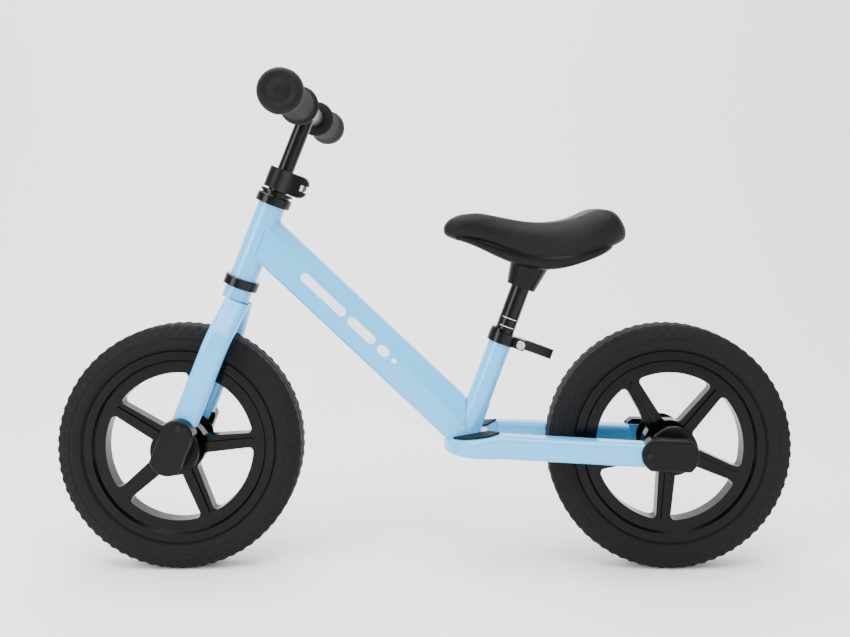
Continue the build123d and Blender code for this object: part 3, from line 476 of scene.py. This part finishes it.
def white_ink():
    """Printed white ink: flat and slightly dull beside the paint."""
    material, tree, shader = new_material("dull_white_ink", "#f4f6f7", 0.45)
    surface_detail(tree, shader, ("#eef0f2", "#fbfcfc"), 3.0, 0, (0.4, 0.5))
    return material


def printed_dash(name, start, end, half_width, ink):
    """A round-ended dash of ink on the left face of the down tube; start and end are X, Z in mm."""
    face_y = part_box("down_tube")[0].y
    lift = 0.12
    mesh_bm = bmesh.new()
    for x, z in (start, end):
        for depth in (-lift, lift):
            dot = bmesh.ops.create_circle(mesh_bm, segments=20, radius=half_width * MM,
                                          matrix=Matrix.Rotation(math.pi / 2, 4, "X"))
            bmesh.ops.translate(mesh_bm, verts=dot["verts"], vec=(x * MM, face_y + depth * MM, z * MM))
    hull = bmesh.ops.convex_hull(mesh_bm, input=mesh_bm.verts)
    spare = [vert for vert in hull["geom_interior"] if isinstance(vert, bmesh.types.BMVert)]
    bmesh.ops.delete(mesh_bm, geom=spare, context="VERTS")
    finish_mesh(mesh_bm, name, "frame", ink, sharp=30)


def tube_dashes():
    """A row of three dashes and a dot along the middle of the down tube."""
    row_start = (-136.6, 333.0)
    row_end = (-37.2, 239.8)
    ink = white_ink()
    # where each begins and stops, as shares of the row, and its half width
    marks = [(0.0, 0.42, 5.2), (0.54, 0.76, 5.2), (0.88, 0.92, 5.2), (1.02, 1.022, 3.0)]
    for number, (begin, stop, half_width) in enumerate(marks, start=1):
        ends = [[a + (b - a) * share for a, b in zip(row_start, row_end)] for share in (begin, stop)]
        printed_dash(f"tube_dash_{number}", *ends, half_width, ink)


foam_tyre("front_wheel")
foam_tyre("rear_wheel")
handlebar_grip("left", -1)
handlebar_grip("right", 1)
stuffed_saddle()
down_line = (DOWN_TUBE_HIGH - DOWN_TUBE_LOW).normalized()
head_end = DOWN_TUBE_LOW + down_line * 0.27
weld_bead("head_weld", seam_between("down_tube", "head_tube", head_end, down_line), thick=1.7)
weld_level = SEAT_TUBE_TOP - SEAT * 0.076
weld_bead("seat_tube_weld", ring_points(weld_level, SEAT, radius=13.6), thick=1.1)
tube_dashes()
nodes["seat_post"].data.materials[0] = post_with_height_lines()
for screws in ("front_cover_screws", "rear_cover_screws"):
    nodes[screws].data.materials[0] = FINISHES["black_steel"]


# ---------------------------------------------------------------- studio

def studio_floor():
    """A seamless sheet: flat under the bike, curving up far behind it."""
    reach, front, back, height, curve = 6.0, -4.0, 1.6, 4.0, 0.8
    curve_steps = 12
    sheet = bmesh.new()
    profile = [(front, 0.0), (back - curve, 0.0)]
    for step in range(1, curve_steps + 1):
        turn = math.radians(90 * step / curve_steps)
        profile.append((back - curve + curve * math.sin(turn), curve - curve * math.cos(turn)))
    profile.append((back, height))
    verts = [sheet.verts.new((-reach, y, z)) for y, z in profile]
    edges = [sheet.edges.new(pair) for pair in zip(verts, verts[1:])]
    drawn = bmesh.ops.extrude_edge_only(sheet, edges=edges)
    moved = [vert for vert in drawn["geom"] if isinstance(vert, bmesh.types.BMVert)]
    bmesh.ops.translate(sheet, verts=moved, vec=(2 * reach, 0, 0))
    bmesh.ops.recalc_face_normals(sheet, faces=sheet.faces)
    mesh = bpy.data.meshes.new("studio_sheet")
    sheet.to_mesh(mesh)
    sheet.free()
    mesh.shade_smooth()
    floor = bpy.data.objects.new("studio_sheet", mesh)
    bpy.context.scene.collection.objects.link(floor)
    paper, tree, shader = new_material("white_backdrop_paper", "#fbfbfb", 0.9)
    surface_detail(tree, shader, ("#fafafa", "#fcfcfc"), 40.0, 0)
    mesh.materials.append(paper)


def softbox(name, place, aim, size, power):
    """A rectangular white light at a place, turned to face aim; metres and watts."""
    lamp = bpy.data.lights.new(name, "AREA")
    lamp.shape = "RECTANGLE"
    lamp.size, lamp.size_y = size
    lamp.energy = power
    box = bpy.data.objects.new(name, lamp)
    box.location = place
    box.rotation_euler = (Vector(aim) - Vector(place)).to_track_quat("-Z", "Y").to_euler()
    bpy.context.scene.collection.objects.link(box)


studio_floor()
softbox("overhead", place=(-0.2, -0.3, 2.3), aim=(0, 0, 0.2), size=(3.0, 2.4), power=135)
softbox("front_left", place=(-1.9, -1.7, 1.3), aim=(0, 0, 0.3), size=(1.2, 1.8), power=60)
softbox("front_right", place=(1.9, -1.6, 1.2), aim=(0, 0, 0.3), size=(1.0, 1.6), power=22)

world = bpy.data.worlds.new("studio_air")
world.use_nodes = True
sky = world.node_tree.nodes["Background"]
sky.inputs["Color"].default_value = (1, 1, 1, 1)
sky.inputs["Strength"].default_value = 0.62
bpy.context.scene.world = world

lens = bpy.data.cameras.new("side_camera")
lens.lens = 38.9
lens.sensor_width = 36
lens.shift_x = -0.017647
lens.shift_y = -0.121765
lens.dof.use_dof = False
camera = bpy.data.objects.new("side_camera", lens)
camera.location = (0.0177, -1.065, 0.4045)
camera.rotation_euler = (math.radians(90), 0, 0)
bpy.context.scene.collection.objects.link(camera)
bpy.context.scene.camera = camera
